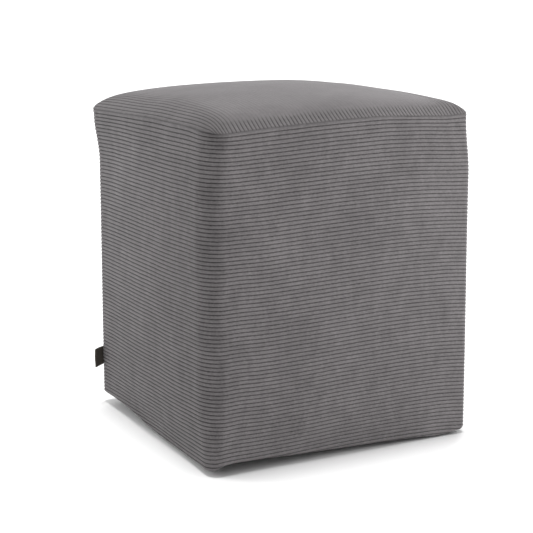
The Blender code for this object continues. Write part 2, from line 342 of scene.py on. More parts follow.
def settled(x, y, rise):
    """Plan points of the true box moved to where the filled cover has settled.

    rise runs from 0 at the hem to 1 at the top seam. The corners lean, and each face bulges, but for its
    lowest stretch, which is drawn in towards the hem.
    """
    u = np.clip(x / HALF_X, -1.0, 1.0)
    v = np.clip(y / HALF_Y, -1.0, 1.0)
    rise = np.clip(rise, 0.0, 1.0)
    below_waist = ease(np.minimum(rise / WAIST, 1.0))
    above_waist = ease(np.maximum(rise - WAIST, 0.0) / (1 - WAIST))
    moved = []
    for axis in (0, 1):
        shift = 0.0
        for side_x, side_y, _, at_hem, at_waist, at_seam in CORNERS:
            share = (1 + side_x * u) * (1 + side_y * v) / 4
            lean = at_hem[axis] + (at_waist[axis] - at_hem[axis]) * below_waist
            lean = lean + (at_seam[axis] - at_waist[axis]) * above_waist
            shift = shift + share * lean * MM
        moved.append(shift)
    bulge = FACE_BULGE * (BULGE_AT_ENDS + (1 - BULGE_AT_ENDS) * np.sin(math.pi * rise))
    bulge = bulge - fade_out(rise * WALL_HEIGHT, HEM_DRAW)
    moved[0] = x + moved[0] + bulge * u**3 * (1 - v * v) ** 2
    moved[1] = y + moved[1] + bulge * v**3 * (1 - u * u) ** 2
    return moved


def relief(phase, depth):
    """Depth of the cord's face below its crests. A furrow lies at each whole number of phase."""
    to_furrow = np.abs(phase - np.round(phase))
    furrow = np.clip(1 - to_furrow / FURROW_SHARE, 0.0, 1.0) ** FURROW_POWER
    return depth * (furrow + CREST_ROUNDING * (1 - 2 * to_furrow) ** 2)


def creased(along, height, creases):
    """Depth of the hand-placed creases at places on a side cloth, in metres."""
    depth = np.zeros_like(along)
    for place, level, heading, half_length, half_width, deep in creases:
        turn = math.radians(heading)
        run = (along - place * MM) * math.cos(turn) + (height - level * MM) * math.sin(turn)
        off = (height - level * MM) * math.cos(turn) - (along - place * MM) * math.sin(turn)
        depth += deep * MM * mound(run, half_length * MM) * mound(off, half_width * MM)
    return depth


def wale_phases(first, last):
    """Rows of points across the wales: a few for each wale, bunched at its furrows."""
    phases = [wale + step for wale in range(first, last) for step in WALE_STEPS]
    return np.array(phases + [float(last)])


def point_numbers(points):
    """The numbers of a grid's points, laid out as the grid."""
    rows, columns, _ = points.shape
    return np.arange(rows * columns).reshape(rows, columns)


def grid_mesh(name, points, caps, place):
    """A mesh object from a grid of points.

    Each cap is one face, given as a row of point numbers. place holds each point's own place on the cloth,
    along and across its wales, and its painted shade: how far the furrows' painted shade is lifted where the
    top is worn flat and lit from above (over 0), or how much painted seam shade darkens it (under 0).
    """
    index = point_numbers(points)
    quads = np.stack([index[:-1, :-1], index[:-1, 1:], index[1:, 1:], index[1:, :-1]], -1).reshape(-1, 4)
    loops = np.concatenate([quads.ravel(), *caps])
    totals = np.concatenate([np.full(len(quads), 4), [len(cap) for cap in caps]]).astype(np.int32)
    starts = np.concatenate([[0], np.cumsum(totals)[:-1]]).astype(np.int32)
    smooth = np.ones(len(totals), bool)
    smooth[len(quads):] = False
    mesh = bpy.data.meshes.new(name)
    mesh.vertices.add(index.size)
    mesh.vertices.foreach_set("co", points.reshape(-1))
    mesh.loops.add(len(loops))
    mesh.loops.foreach_set("vertex_index", loops.astype(np.int32))
    mesh.polygons.add(len(totals))
    mesh.polygons.foreach_set("loop_start", starts)
    mesh.polygons.foreach_set("loop_total", totals)
    mesh.polygons.foreach_set("use_smooth", smooth)
    mesh.update(calc_edges=True)
    cloth_place = mesh.attributes.new("cloth_place", "FLOAT_VECTOR", "POINT")
    cloth_place.data.foreach_set("vector", place.reshape(-1))
    mesh.validate()
    return placed(name, mesh)


def placed(name, data):
    """An object of the scene that holds a mesh, a lamp or a lens."""
    obj = bpy.data.objects.new(name, data)
    bpy.context.scene.collection.objects.link(obj)
    return obj


# ---------------------------------------------------------------- side cloths


class Outline:
    """Plan outline of a side cloth: half a seam corner, a face, a round corner, a face, half a seam corner."""

    def __init__(self, *corners):
        eighth = math.pi / 4
        start = math.atan2(corners[0][1], corners[0][0])
        turns = ((0, eighth), (eighth, 3 * eighth), (3 * eighth, 4 * eighth))
        points, angles = [], []
        for (side_x, side_y, reach, *_), (first, last) in zip(corners, turns):
            reach_x, reach_y = (size * MM for size in reach)
            centre = (side_x * (HALF_X - reach_x), side_y * (HALF_Y - reach_y))
            for turn in np.linspace(start + first, start + last, ARC_POINTS):
                points.append((centre[0] + reach_x * math.cos(turn), centre[1] + reach_y * math.sin(turn)))
                angles.append(math.atan2(math.sin(turn) / reach_y, math.cos(turn) / reach_x))
        self.points = np.array(points)
        self.angles = np.unwrap(angles)
        steps = np.linalg.norm(np.diff(self.points, axis=0), axis=1)
        self.distances = np.concatenate([[0.0], np.cumsum(steps)])
        self.length = float(self.distances[-1])
        edges = [arc * ARC_POINTS + end for arc in range(3) for end in (0, ARC_POINTS - 1)]
        self.ends = [float(self.distances[edge]) for edge in edges]
        # Where the round corner is halfway through its turn.
        self.over = (self.ends[2] + self.ends[3]) / 2

    def at(self, along):
        """Plan point and outward direction at each distance along the cloth."""
        x = np.interp(along, self.distances, self.points[:, 0])
        y = np.interp(along, self.distances, self.points[:, 1])
        angle = np.interp(along, self.distances, self.angles)
        return x, y, np.cos(angle), np.sin(angle)

    def edge_place(self, first_face, along_face):
        """Distance along the cloth of points on one face of the true square, read from the face's start."""
        start, end = (0.0, self.over) if first_face else (self.over, self.length)
        return start + (end - start) * along_face / WIDTH

    def columns(self):
        """Distances of the cloth's columns of points, closer together round the corners."""
        steps = (SEAM_CORNER_STEPS, FACE_STEPS, ROUND_CORNER_STEPS, FACE_STEPS, SEAM_CORNER_STEPS)
        found = [0.0]
        for first, last, count in zip(self.ends, self.ends[1:], steps):
            found += list(np.linspace(first, last, count + 1)[1:])
        return np.array(found)


def level_of(levels, column, along):
    """One column of a table of levels, in metres, at distances along the cloth."""
    places = [row[0] * MM for row in levels]
    return smooth_curve(along, places, [row[column] * MM for row in levels])


def wale_heights(levels, along, a, k, seed):
    """Height of each row of wales, which has crept a little up or down from level."""
    nodes = [level_of(levels, SEAM_COLUMN, along) - SIDE_PITCH]
    nodes += [level_of(levels, column, along) for column in WALE_COLUMNS]
    shares = [np.interp(k, (FIRST_WALE, *LEVEL_WALES), row) for row in np.eye(len(nodes))]
    creep = sum(share * node for share, node in zip(shares, nodes))
    creep += uneven(SIDE_CREEP, a, k, seed) * np.clip(k - FIRST_WALE, 0, 1)
    return SEAM_HEIGHT - k * SIDE_PITCH + creep


def turned_under(z, hem):
    """Heights of a cloth's rows once it is turned under at its hem, and how far inwards they then lie."""
    past = np.maximum(hem + HEM_FOLD_RADIUS - z, 0.0)
    turn = np.minimum(past / HEM_FOLD_RADIUS, math.pi / 2)
    past_fold = np.maximum(past - HEM_FOLD_RADIUS * math.pi / 2, 0.0)
    level_run = HEM_TURN * (1 - np.exp(-past_fold / HEM_TURN))
    inwards = HEM_FOLD_RADIUS * (1 - np.cos(turn)) + level_run
    turned = hem + HEM_FOLD_RADIUS * (1 - np.sin(turn)) + HEM_RISE * level_run
    return np.where(past > 0, turned, z), inwards


def side_cloth(name, corners, levels, creases, seed, place_start):
    """A side cloth with its filling: rows follow the wales, from inside the top seam to under the hem."""
    from_corner, over_corner, to_corner = corners
    side_x, side_y, reach, *shifts = over_corner
    outline = Outline(*corners)
    foot = Outline(from_corner, (side_x, side_y, [FOOT_BEND * size for size in reach], *shifts), to_corner)
    along = outline.columns()
    # Distance along the cloth and number of the wale, at each point of the grid.
    a, k = np.meshgrid(along, wale_phases(FIRST_WALE, LAST_WALE))
    from_end = np.minimum(a, outline.length - a)
    seam = SEAM_HEIGHT + level_of(levels, SEAM_COLUMN, along)
    hem = HEM_HEIGHT + level_of(levels, HEM_COLUMN, along) + fade_out(from_end[0], HEM_END_LIFT)
    z, inwards = turned_under(wale_heights(levels, along, a, k, seed), hem)
    from_seam = np.maximum(seam - z, 0.0)

    upper = outline.at(along)
    lower = foot.at(np.interp(along, outline.distances, foot.distances))
    at_foot = ease(np.clip(1 - (z - HEM_HEIGHT) / FOOT_HEIGHT, 0.0, 1.0))
    x, y, out_x, out_y = (high + (low - high) * at_foot for high, low in zip(upper, lower))
    plan_x, plan_y = settled(x, y, (z - HEM_HEIGHT) / WALL_HEIGHT)

    # Depth of the face: wales, seams, creases and the uneven filling.
    past_bend = a - outline.over
    below_corner = mound(past_bend - BELOW_CORNER_PLACE, BELOW_CORNER_LENGTH)
    below_corner *= mound(z - SEAM_HEIGHT, BELOW_CORNER_HEIGHT)
    gain = 1 + BEND_GAIN * mound(past_bend, BEND_REACH) + BELOW_CORNER_GAIN * below_corner
    depth = inwards + relief(k, SIDE_RELIEF * gain) + creased(a, z, creases)
    depth += fade_out(from_end, END_TUCK) + fade_out(from_seam, SIDE_SEAM_TUCK)
    filling = uneven(SIDE_FILLING, a, z, seed) + uneven(SIDE_DIMPLES, a, z, seed)
    depth += np.clip(from_end / SIDE_FILLING_GROWS, 0.0, 1.0) * filling
    depth += np.exp(-from_seam / SIDE_PUCKER_FADES) * uneven(SIDE_PUCKER, a, z, seed)
    points = np.stack([plan_x - depth * out_x, plan_y - depth * out_y, z], -1)
    # Painted shade deep in the seams and at the ends, and just under the top seam past the round corner.
    shade = -SEAM_SHADE * mound(np.minimum(from_seam, from_end), SEAM_SHADE_REACH)
    shade -= BELOW_CORNER_SHADE * below_corner

    # The top edge turns into its seam, and both ends turn into the upright seams.
    rim = []
    for distance, down, _ in SIDE_RIM:
        inside = (distance * out_x[0], distance * out_y[0], np.full_like(along, down))
        rim.append(points[0] - np.stack(inside, -1))
    points = np.concatenate([rim, points])
    ends = []
    for edge, corner in ((points[:, :1], from_corner), (points[:, -1:], to_corner)):
        to_middle = -np.array((*corner[:2], 0.0)) / math.sqrt(2)
        ends.append([edge + distance * to_middle for distance in (END_CURL, END_ALLOWANCE)])
    points = np.concatenate([*ends[0][::-1], points, *ends[1]], 1)
    # Both side cloths end on the same two seam lines, a hair apart.
    points[..., :2] += SEAM_GAP / 2 * np.array((side_x, side_y)) / math.sqrt(2)

    a_ends = np.array([END_CURL, END_ALLOWANCE])
    a = np.concatenate([-a_ends[::-1], along, outline.length + a_ends])
    k = np.concatenate([[np.full_like(along, FIRST_WALE - wales) for _, _, wales in SIDE_RIM], k])
    k = np.pad(k, ((0, 0), (2, 2)), mode="edge")
    shade = np.pad(shade, ((2, 0), (2, 2)), mode="edge")
    place = np.stack([np.broadcast_to(a + place_start, k.shape), k * SIDE_PITCH, shade], -1)
    # The rows run downwards and the columns anticlockwise seen from above, so the faces look outwards.
    index = point_numbers(points)
    filling_side = np.concatenate([index[:, 0][::-1], index[:, -1]])
    return grid_mesh(name, points, (index[0], index[-1][::-1], filling_side), place)


# ---------------------------------------------------------------- top cloth


def corner_reach(x, y):
    """How far the bend of the nearest corner reaches along X and along Y, for each plan point."""
    found = [np.ones_like(x), np.ones_like(x)]
    for side_x, side_y, reach, *_ in CORNERS:
        nearest = (side_x * x > 0) & (side_y * y > 0)
        found = [np.where(nearest, size * MM, other) for size, other in zip(reach, found)]
    return found


def climb(from_seam, shares):
    """Height of the crown at a distance from one of its seams, as a share of its full height."""
    share, width, roll_power, dome_power = shares
    roll = np.exp(-((np.maximum(from_seam, 0.0) / width) ** roll_power))
    dome = np.clip(1 - from_seam / HALF_X, 0.0, 1.0) ** dome_power
    return 1 - share * roll - (1 - share) * dome


def crown_height(x, y):
    """Height of the crown above its seam at plan points of the true box."""
    grown = np.clip((x - FRONT_ROLL_GROWS_FROM) / (HALF_X - FRONT_ROLL_GROWS_FROM), 0.0, 1.0) ** 2
    front_share = FRONT_CLIMB[0] + (FRONT_ROLL_AT_RIGHT - FRONT_CLIMB[0]) * grown
    over_x = np.where(x < 0, climb(HALF_X + x, LEFT_CLIMB), climb(HALF_X - x, RIGHT_CLIMB))
    front = climb(HALF_Y + y, (front_share, *FRONT_CLIMB[1:]))
    over_y = np.where(y < 0, front, climb(HALF_Y - y, BACK_CLIMB))
    over_x = np.maximum(over_x, LEAST_CLIMB)
    over_y = np.maximum(over_y, LEAST_CLIMB)
    return CROWN_HEIGHT * (over_x**-CROWN_BLEND + over_y**-CROWN_BLEND - 1) ** (-1 / CROWN_BLEND)


def cloth_places(across_x):
    """Cloth length of the crown's middle line across X or along Y, as places and the distances to them."""
    places = np.linspace(-HALF_X, HALF_X, MIDDLE_LINE_POINTS)
    middle = np.zeros_like(places)
    height = crown_height(places, middle) if across_x else crown_height(middle, places)
    steps = np.hypot(np.diff(places), np.diff(height))
    return places, np.concatenate([[0.0], np.cumsum(steps)])


def rounded(x, y):
    """Plan points of the square top drawn in so that the square's corners become round ones."""
    reach_x, reach_y = corner_reach(x, y)
    over_x = np.clip((np.abs(x) - HALF_X + reach_x) / reach_x, 0.0, 1.0)
    over_y = np.clip((np.abs(y) - HALF_Y + reach_y) / reach_y, 0.0, 1.0)
    # A point on a middle line of the top has no nearest corner, and stays where it is.
    both = (over_x > 0) & (over_y > 0) & (np.abs(x * y) > 0)
    round_x = HALF_X - reach_x + reach_x * over_x * np.sqrt(1 - over_y**2 / 2)
    round_y = HALF_Y - reach_y + reach_y * over_y * np.sqrt(1 - over_x**2 / 2)
    return np.where(both, np.copysign(round_x, x), x), np.where(both, np.copysign(round_y, y), y)


def top_seam_level(x, y):
    """Height of the top seam above level at its four sides, spread smoothly over the whole top."""
    left_front = Outline(*LEFT_FRONT_CORNERS)
    right_back = Outline(*RIGHT_BACK_CORNERS)
    u = x / HALF_X
    v = y / HALF_Y
    left = level_of(LEFT_FRONT_LEVELS, SEAM_COLUMN, left_front.edge_place(True, HALF_Y - y))
    front = level_of(LEFT_FRONT_LEVELS, SEAM_COLUMN, left_front.edge_place(False, x + HALF_X))
    right = level_of(RIGHT_BACK_LEVELS, SEAM_COLUMN, right_back.edge_place(True, y + HALF_Y))
    back = level_of(RIGHT_BACK_LEVELS, SEAM_COLUMN, right_back.edge_place(False, HALF_X - x))
    spread = (1 - u) / 2 * left + (1 + u) / 2 * right + (1 - v) / 2 * front + (1 + v) / 2 * back
    # Each corner was counted twice.
    for (side_x, side_y, *_), level in (
        (FAR_LEFT, LEFT_FRONT_LEVELS[0][SEAM_COLUMN] * MM),
        (NEAR_LEFT, level_of(LEFT_FRONT_LEVELS, SEAM_COLUMN, left_front.over)),
        (NEAR_RIGHT, LEFT_FRONT_LEVELS[-1][SEAM_COLUMN] * MM),
        (FAR_RIGHT, level_of(RIGHT_BACK_LEVELS, SEAM_COLUMN, right_back.over)),
    ):
        spread = spread - (1 + side_x * u) * (1 + side_y * v) / 4 * level
    return spread


def crown(box_x, box_y):
    """Points of the top's smooth surface over plan points of the true box."""
    x, y = settled(*rounded(box_x, box_y), 1.0)
    height = top_seam_level(box_x, box_y) + crown_height(box_x, box_y)
    return np.stack([x, y, SEAM_HEIGHT + SEAM_GAP + height], -1)


def top_rows(length):
    """Distances from the front seam of the rows of points across the wales, closer together at both seams."""
    edge = TOP_EDGE * np.linspace(0.0, 1.0, TOP_EDGE_ROWS) ** TOP_EDGE_BUNCHING
    middle = np.linspace(TOP_EDGE, length - TOP_EDGE, TOP_MIDDLE_ROWS)[1:-1]
    return np.concatenate([edge, middle, length - edge[::-1]])


def drawn_in(edge, distance, up):
    """Points of the top's edge moved inwards, square to the side that they lie on, and up."""
    plan = edge[..., :2]
    side = np.where(np.abs(plan) > EDGE_SHARE * HALF_X, np.sign(plan), 0.0)
    on_side = size_of(side)
    outwards = np.where(on_side > 0, side / np.maximum(on_side, TINY), plan / size_of(plan))
    moved = edge.copy()
    moved[..., :2] -= distance * outwards
    moved[..., 2] += up
    return moved


def top_cloth(name, seed):
    """The crowned top with its filling: wales run front to back, over the rolls and into the seam."""
    places_x, lengths_x = cloth_places(across_x=True)
    places_y, lengths_y = cloth_places(across_x=False)
    phase, along = np.meshgrid(wale_phases(0, TOP_WALES), top_rows(lengths_y[-1]))
    across = phase * lengths_x[-1] / TOP_WALES
    from_side = np.minimum(across, lengths_x[-1] - across)
    from_end = np.minimum(along, lengths_y[-1] - along)
    from_seam = np.minimum(from_side, from_end)
    wander = uneven(TOP_WANDER, across, along, seed) * np.clip(from_side / TOP_WANDER_GROWS, 0.0, 1.0)
    box_x = np.interp(across + wander, lengths_x, places_x)
    points = crown(box_x, np.interp(along, lengths_y, places_y))
    normal = np.cross(np.gradient(points, axis=1), np.gradient(points, axis=0))
    normal /= size_of(normal)

    caught = fade_in(from_end, 0.0, CAUGHT_WIDTH)
    brushed_and_lit = fade_in(from_side, *BRUSHED_AND_LIT_FROM_SIDES) * fade_in(from_end, *BRUSHED_AND_LIT_FROM_ENDS)
    standing = (CAUGHT_RELIEF + (1 - CAUGHT_RELIEF) * caught) * (1 - BRUSHED_FLAT * brushed_and_lit)
    depth = relief(phase, TOP_RELIEF) * standing + fade_out(from_seam, TOP_SEAM_TUCK)
    filling = uneven(TOP_FILLING, across, along, seed)
    depth += np.clip(from_seam / TOP_FILLING_GROWS, 0, 1) * filling
    depth += np.exp(-from_seam / TOP_PUCKER_FADES) * uneven(TOP_PUCKER, across, along, seed)
    points = points - depth[..., None] * normal

    for distance, up in TOP_RIM:
        points = np.pad(points, ((1, 1), (1, 1), (0, 0)), mode="edge")
        ring = np.ones(points.shape[:2], bool)
        ring[1:-1, 1:-1] = False
        points[ring] = drawn_in(points[ring], distance, up)
    # Painted shade for the material: lifted in the furrows where the top is worn flat and lit from above, and
    # deep in the seams.
    shade = brushed_and_lit - SEAM_SHADE * mound(from_seam, SEAM_SHADE_REACH)
    place = np.stack([along, across, shade], -1)
    place = np.pad(place, ((2, 2), (2, 2), (0, 0)), mode="edge")
    index = point_numbers(points)
    rim = np.concatenate([index[0, :-1], index[:-1, -1], index[-1, :0:-1], index[:0:-1, 0]])
    return grid_mesh(name, points, (rim[::-1],), place)


# ---------------------------------------------------------------- tab and underside


def tag_spine():
    """Plan points and headings along the tab, from inside the seam to the start of its outer fold."""
    side_x, side_y, reach, *_ = FAR_LEFT
    radius = reach[0] * MM
    diagonal = math.atan2(side_y, side_x)
    x = side_x * (HALF_X - radius) + radius * math.cos(diagonal)
    y = side_y * (HALF_Y - radius) + radius * math.sin(diagonal)
    rise = (TAG_CENTRE_HEIGHT - HEM_HEIGHT) / WALL_HEIGHT
    place = Vector([float(c) for c in settled(x, y, rise)])
    length = TAG_LENGTH - TAG_ROOT_CLEARANCE - TAG_THICKNESS / 2
    spine = []
    for step in range(TAG_STEPS + 1):
        turn = TAG_ROOT_HEADING + (TAG_FOLD_HEADING - TAG_ROOT_HEADING) * step / TAG_STEPS
        heading = Vector((math.cos(turn), math.sin(turn)))
        place = place + heading * (length / TAG_STEPS if step else TAG_ROOT_CLEARANCE)
        spine.append((place, heading))
    root, heading = spine[0]
    return [(root - heading * TAG_ROOT_DEPTH, heading)] + spine


def tag_line():
    """Plan points along the ribbon: out in one layer, round the fold and back in the other."""
    spine = tag_spine()
    radius = (TAG_THICKNESS - TAG_CLOTH) / 2
    layers = []
    for side in (1, -1):
        layer = []
        for number, (place, heading) in enumerate(spine):
            apart = radius * min(1.0, TAG_ROOT_APART + TAG_PARTING * number)
            layer.append(place + side * Vector((heading.y, -heading.x)) * apart)
        layers.append(layer)
    place, heading = spine[-1]
    across = Vector((-heading.y, heading.x))
    fold = []
    for step in range(1, TAG_FOLD_STEPS):
        angle = -math.pi / 2 + math.pi * step / TAG_FOLD_STEPS
        fold.append(place + radius * (heading * math.cos(angle) + across * math.sin(angle)))
    return layers[0] + fold + layers[1][::-1]


def tag_ribbon(name):
    """The tab: one strip of ribbon folded on itself, with both its ends caught in the seam."""
    line = tag_line()
    steps = [(after - before).length for before, after in zip(line, line[1:])]
    run, height = np.meshgrid(np.cumsum([0.0] + steps), np.linspace(-1.0, 1.0, TAG_ROWS), indexing="ij")
    length = float(run[-1, 0])
    x, y = (np.array([point[axis] for point in line])[:, None] for axis in (0, 1))
    up_turn, along_turn = TAG_BOW_TURNS
    bow = TAG_BOW * np.sin(up_turn * height + along_turn * run / length)
    up = height * TAG_HEIGHT / 2
    z = TAG_CENTRE_HEIGHT + up - TAG_SAG * np.sin(math.pi * run / length)
    points = np.stack([x + bow, np.broadcast_to(y, z.shape), z], -1)
    obj = grid_mesh(name, points, (), np.stack([up, run, np.zeros_like(run)], -1))
    thicken = obj.modifiers.new("ribbon", "SOLIDIFY")
    thicken.thickness = TAG_CLOTH_DRAWN
    thicken.offset = 0.0
    return obj, length


def underside_pad(name, seed):
    """The plain underside: a stretched cloth over the base, rounded at its rim and flat on the floor."""
    low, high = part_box("base_panel")
    half = np.array([(high[axis] - low[axis]) / 2 for axis in (0, 1)])
    # Rings from the middle of the floor side, round the rim, to the middle of the upper side:
    # (share of the half width at a ring, inset from the rim, share of the height)
    rings = [(share, 0.0, 0.0) for share in PAD_LOWER_RINGS]
    for step in range(PAD_RIM_STEPS + 1):
        angle = math.pi * step / PAD_RIM_STEPS
        rings.append((1.0, PAD_RIM_RADIUS * (1 - math.sin(angle)), (1 - math.cos(angle)) / 2))
    rings += [(share, 0.0, 1.0) for share in PAD_UPPER_RINGS]
    # A rounded square: the middle of each side is flat, and the corners are round.
    turns = np.linspace(0.0, 2 * math.pi, PAD_COLUMNS + 1)[:-1]
    spokes = np.stack([np.cos(turns), np.sin(turns)], -1)
    square = spokes / np.abs(spokes).max(-1, keepdims=True) * half
    kept = np.clip(square, PAD_CORNER - half, half - PAD_CORNER)
    rest = square - kept
    size = size_of(rest)
    rim = kept + np.where(size > TINY, rest / np.maximum(size, TINY) * PAD_CORNER, rest)
    points = np.zeros((len(rings), PAD_COLUMNS + 1, 3))
    cells_round, cells_in = PAD_PUCKER_CELLS
    for number, (share, inset, level) in enumerate(rings):
        ring_place = np.full_like(turns, share * cells_in)
        pucker = PAD_PUCKER * soft_noise(turns * cells_round, ring_place, 1.0, 1.0, seed)[:, None]
        drawn = (1 - inset / half[0]) * (1 - pucker / half[0] * (level > 0))
        points[number, :-1, :2] = rim * share * drawn
        points[number, :-1, 2] = low[2] + (high[2] - low[2]) * level
    points[:, -1] = points[:, 0]
    obj = grid_mesh(name, points, (), points)
    close_tube(obj.data)
    return obj


def close_tube(mesh):
    """Joins a tube's first and last columns, fills its two small ends and turns its faces outwards."""
    shape = bmesh.new()
    shape.from_mesh(mesh)
    bmesh.ops.remove_doubles(shape, verts=shape.verts, dist=MERGE_DISTANCE)
    bmesh.ops.holes_fill(shape, edges=shape.edges, sides=0)
    bmesh.ops.recalc_face_normals(shape, faces=shape.faces)
    shape.to_mesh(mesh)
    shape.free()


# ---------------------------------------------------------------- materials

# The crests' colour, and the furrows' colour, which is the cloth's own darkened with painted shade, as falls
# between the wales.
CREST_COLOUR = (0.122, 0.114, 0.1165, 1.0)
FURROW_SHADE_COLOUR = (0.043, 0.040, 0.0405, 1.0)
SHEEN_TINT = (0.95, 0.93, 0.94, 1.0)
CORD_GRAIN = 0.35 * MM
PLAIN_GRAIN = 0.15 * MM
PLAIN_SHEEN = 0.1

# Noise patterns: (size of a cell along the cloth, across it and in depth, detail, roughness, shift)
TUFTS = ((3.0 * MM, 1.4 * MM, 1.0), 2.0, 0.6, 0.0)
WALE_TONES = ((30 * MM, 1.0, 1.0), 1.0, 0.5, 0.0)
SMUDGES = ((13 * MM, 34 * MM, 1.0), 3.0, 0.6, 3.0)
CLOUDS = ((70 * MM, 90 * MM, 1.0), 2.0, 0.5, 8.0)
FLECKS = ((3.4 * MM, 1.5 * MM, 1.0), 2.0, 0.6, 5.0)
FIBRES = ((0.9 * MM, 0.35 * MM, 1.0), 1.0, 0.5, 2.0)
FELTING = ((3 * MM, 3 * MM, 3 * MM), 4.0, 0.65, 0.0)
# Direction in which a pattern is shifted, so that no two fall together.
SHIFT_DIRECTION = (1.0, 1.7, 0.3)

# How far tufts blur a furrow's edge, and where that edge lies, as shares of a wale.
TUFT_BLUR = 0.30
FURROW_EDGE = (0.04, 0.20)
# Distance between neighbouring wales in their own noise, and how strong that noise and the fibres are.
WALE_STEP = 0.37
WALE_TONE_SHARE = 0.6
FIBRE_SHARE = 0.8
# How far felting hides the threads: (noise from, noise to, share of the threads from, to)
FELTING_RANGE = (0.25, 0.75, 0.5, 1.0)
# Roughness of the pile and what its flecks add, and how high fibres and flecks stand in its grain.
PILE_ROUGHNESS = 0.80
FLECK_ROUGHNESS = 0.14
FIBRE_HEIGHT = 0.6
FLECK_HEIGHT = 0.4
# Roughness of a woven face between its threads, and what the threads take off.
WOVEN_ROUGHNESS = 0.9
THREAD_GLOSS = 0.15

FACE_OUTPUTS = (("Colour", "NodeSocketColor"), ("Roughness", "NodeSocketFloat"), ("Height", "NodeSocketFloat"))


def link(tree, source, target):
    """Joins two sockets."""
    tree.links.new(source, target)


def node(tree, kind, **settings):
    """A new node with some of its settings made."""
    made = tree.nodes.new(kind)
    for key, value in settings.items():
        setattr(made, key, value)
    return made


def set_inputs(made, values):
    """Sets a node's inputs by their names."""
    for key, value in values.items():
        made.inputs[key].default_value = value


def maths(tree, operation, first, second=None, third=None, clamp=False):
    """A Math node whose inputs are sockets or plain numbers. Returns its output."""
    made = node(tree, "ShaderNodeMath", operation=operation, use_clamp=clamp)
    for socket, value in zip(made.inputs, (first, second, third)):
        if value is None:
            continue
        if isinstance(value, (int, float)):
            socket.default_value = value
        else:
            link(tree, value, socket)
    return made.outputs[0]


def ramp_between(tree, value, low, high, to_low=0.0, to_high=1.0):
    """A smooth step from to_low to to_high while value runs from low to high."""
    made = node(tree, "ShaderNodeMapRange", interpolation_type="SMOOTHSTEP")
    link(tree, value, made.inputs["Value"])
    set_inputs(made, {"From Min": low, "From Max": high, "To Min": to_low, "To Max": to_high})
    return made.outputs["Result"]


def mixed_colour(tree, factor, first, second):
    """The first colour where the factor is 0, and the second where it is 1."""
    made = node(tree, "ShaderNodeMix", data_type="RGBA")
    link(tree, factor, made.inputs["Factor"])
    link(tree, first, made.inputs["A"])
    link(tree, second, made.inputs["B"])
    return made.outputs["Result"]


def stretched_noise(tree, place, cell, detail, roughness, shift):
    """Noise with cells of the given size in metres along each axis of the cloth's own places."""
    scale = node(tree, "ShaderNodeVectorMath", operation="MULTIPLY_ADD")
    link(tree, place, scale.inputs[0])
    scale.inputs[1].default_value = tuple(1.0 / size for size in cell)
    scale.inputs[2].default_value = tuple(shift * part for part in SHIFT_DIRECTION)
    made = node(tree, "ShaderNodeTexNoise", noise_dimensions="3D")
    set_inputs(made, {"Scale": 1.0, "Detail": detail, "Roughness": roughness})
    link(tree, scale.outputs[0], made.inputs["Vector"])
    return made.outputs["Fac"]


def new_group(name, inputs):
    """A node group for the face of a cloth. Returns the group, its inputs by name and its output node."""
    group = bpy.data.node_groups.new(name, "ShaderNodeTree")
    for in_out, sockets in (("INPUT", inputs), ("OUTPUT", FACE_OUTPUTS)):
        for socket_name, kind in sockets:
            group.interface.new_socket(socket_name, in_out=in_out, socket_type=kind)
    return group, node(group, "NodeGroupInput").outputs, node(group, "NodeGroupOutput")


